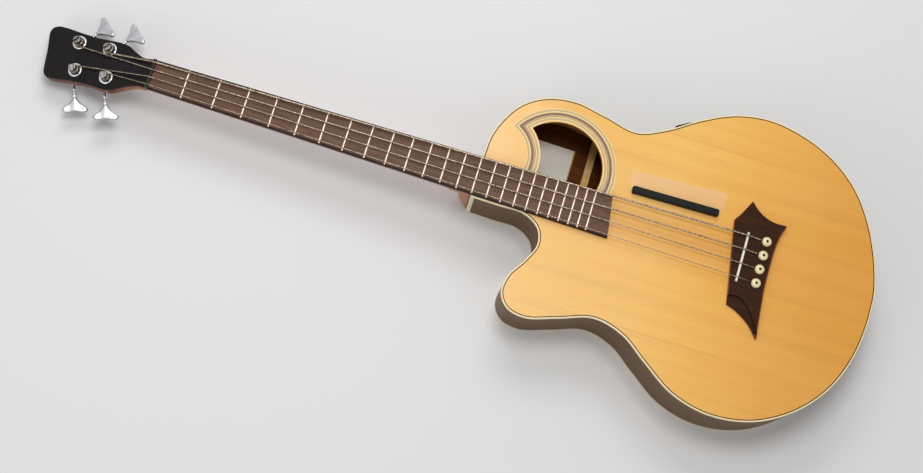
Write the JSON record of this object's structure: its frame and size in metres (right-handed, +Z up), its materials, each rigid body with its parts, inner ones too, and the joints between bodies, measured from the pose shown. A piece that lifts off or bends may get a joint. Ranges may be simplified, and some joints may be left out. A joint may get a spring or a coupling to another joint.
{
  "type": "acoustic bass guitar",
  "caption": "Left-handed acoustic bass guitar with a cutaway body, crescent soundhole, pin bridge, side preamp and worm-geared tuners.",
  "frame": {"origin": "on the flat back, under the nominal saddle line, on the neck's centreline", "axes": "the guitar lies on its back: +X from the neck to the tail, +Y to the bass side, +Z up out of the soundboard"},
  "size_m": [1.176, 0.4144, 0.1182],
  "materials": {
    "spruce_top": "gloss",
    "side_wood": "satin",
    "cream_binding": "gloss",
    "rosette_inlay": "gloss",
    "inner_wood": "matte",
    "label_paper": "matte",
    "rosewood": "satin",
    "neck_wood": "satin",
    "black_lacquer": "gloss",
    "black_plastic": "satin",
    "cream_plastic": "satin",
    "chrome": "polished",
    "string_steel": "wound",
    "clear_film": "gloss",
    "pickup_copper": "braided"
  },
  "bodies": {
    "root": {"soundboard": "spruce_top", "rosette": "rosette_inlay", "back_plate": "side_wood", "top_binding": "cream_binding", "back_binding": "cream_binding", "side_bass": "side_wood", "side_treble": "side_wood", "top_lining": "inner_wood", "back_lining": "inner_wood", "neck_block": "inner_wood", "tail_block": "inner_wood", "cross_brace": "inner_wood", "fingerboard_brace": "inner_wood", "bridge_plate": "inner_wood", "back_brace_1": "inner_wood", "back_brace_2": "inner_wood", "back_brace_3": "inner_wood", "paper_label": "label_paper", "fingerboard": "rosewood", "nut": "black_plastic", "neck": "neck_wood", "headstock_veneer": "black_lacquer", "truss_rod_cover": "black_plastic", "truss_rod": "chrome", "tuner_plate_e": "chrome", "tuner_plate_a": "chrome", "tuner_plate_d": "chrome", "tuner_plate_g": "chrome", "tuner_bushing_e": "chrome", "tuner_bushing_a": "chrome", "tuner_bushing_d": "chrome", "tuner_bushing_g": "chrome", "string_e": "string_steel", "string_a": "string_steel", "string_d": "string_steel", "string_g": "string_steel", "bridge": "rosewood", "saddle": "cream_plastic", "pickup_strip": "pickup_copper", "bridge_pin_e": "cream_plastic", "bridge_pin_a": "cream_plastic", "bridge_pin_d": "cream_plastic", "bridge_pin_g": "cream_plastic", "thumb_rest": "black_plastic", "thumb_rest_film": "clear_film", "preamp_panel": "black_plastic", "battery": "string_steel", "end_pin_jack": "chrome"},
    "key_e": {"tuner_key_e": "chrome"},
    "key_a": {"tuner_key_a": "chrome"},
    "key_d": {"tuner_key_d": "chrome"},
    "key_g": {"tuner_key_g": "chrome"},
    "post_e": {"tuner_post_e": "chrome"},
    "post_a": {"tuner_post_a": "chrome"},
    "post_d": {"tuner_post_d": "chrome"},
    "post_g": {"tuner_post_g": "chrome"},
    "volume": {"knob_volume": "black_plastic"},
    "bass": {"knob_bass": "black_plastic"},
    "treble": {"knob_treble": "black_plastic"},
    "door": {"battery_door": "black_plastic"}
  },
  "joints": [
    {"name": "key_e_turn", "type": "hinge", "parent": "root", "child": "key_e", "pos_m": [-0.8849, 0.02599, 0.03126], "axis": [0.6291, 0.7547, 0.186], "continuous": true},
    {"name": "key_a_turn", "type": "hinge", "parent": "root", "child": "key_a", "pos_m": [-0.92853, 0.02599, 0.01836], "axis": [0.6291, 0.7547, 0.186], "continuous": true},
    {"name": "key_d_turn", "type": "hinge", "parent": "root", "child": "key_d", "pos_m": [-0.92274, -0.02312, 0.02007], "axis": [0.3592, -0.9272, 0.1062], "continuous": true},
    {"name": "key_g_turn", "type": "hinge", "parent": "root", "child": "key_g", "pos_m": [-0.87844, -0.02312, 0.03317], "axis": [0.3592, -0.9272, 0.1062], "continuous": true},
    {"name": "post_e_turn", "type": "hinge", "parent": "root", "child": "post_e", "pos_m": [-0.88308, 0.0193, 0.05223], "axis": [-0.2835, 0, 0.959], "continuous": true},
    {"name": "post_a_turn", "type": "hinge", "parent": "root", "child": "post_a", "pos_m": [-0.92671, 0.0193, 0.03933], "axis": [-0.2835, 0, 0.959], "continuous": true},
    {"name": "post_d_turn", "type": "hinge", "parent": "root", "child": "post_d", "pos_m": [-0.91923, -0.0193, 0.04155], "axis": [-0.2835, 0, 0.959], "continuous": true},
    {"name": "post_g_turn", "type": "hinge", "parent": "root", "child": "post_g", "pos_m": [-0.87492, -0.0193, 0.05464], "axis": [-0.2835, 0, 0.959], "continuous": true},
    {"name": "volume_turn", "type": "hinge", "parent": "root", "child": "volume", "pos_m": [-0.1099, 0.16315, 0.07846], "axis": [-0.4882, 0.8725, -0.0211], "range_deg": [-140, 140]},
    {"name": "bass_turn", "type": "hinge", "parent": "root", "child": "bass", "pos_m": [-0.09509, 0.17146, 0.0791], "axis": [-0.4882, 0.8725, -0.0211], "range_deg": [-140, 140]},
    {"name": "treble_turn", "type": "hinge", "parent": "root", "child": "treble", "pos_m": [-0.08027, 0.17977, 0.07974], "axis": [-0.4882, 0.8725, -0.0211], "range_deg": [-140, 140]},
    {"name": "door_swing", "type": "hinge", "parent": "root", "child": "door", "pos_m": [-0.09323, 0.17059, 0.0474], "axis": [-0.8717, -0.4887, -0.0376], "range_deg": [0, 95]}
  ],
  "couplings": [
    {"joint": "post_e_turn", "follows": "key_e_turn", "ratio": 0.0625},
    {"joint": "post_a_turn", "follows": "key_a_turn", "ratio": 0.0625},
    {"joint": "post_d_turn", "follows": "key_d_turn", "ratio": 0.0625},
    {"joint": "post_g_turn", "follows": "key_g_turn", "ratio": 0.0625}
  ]
}
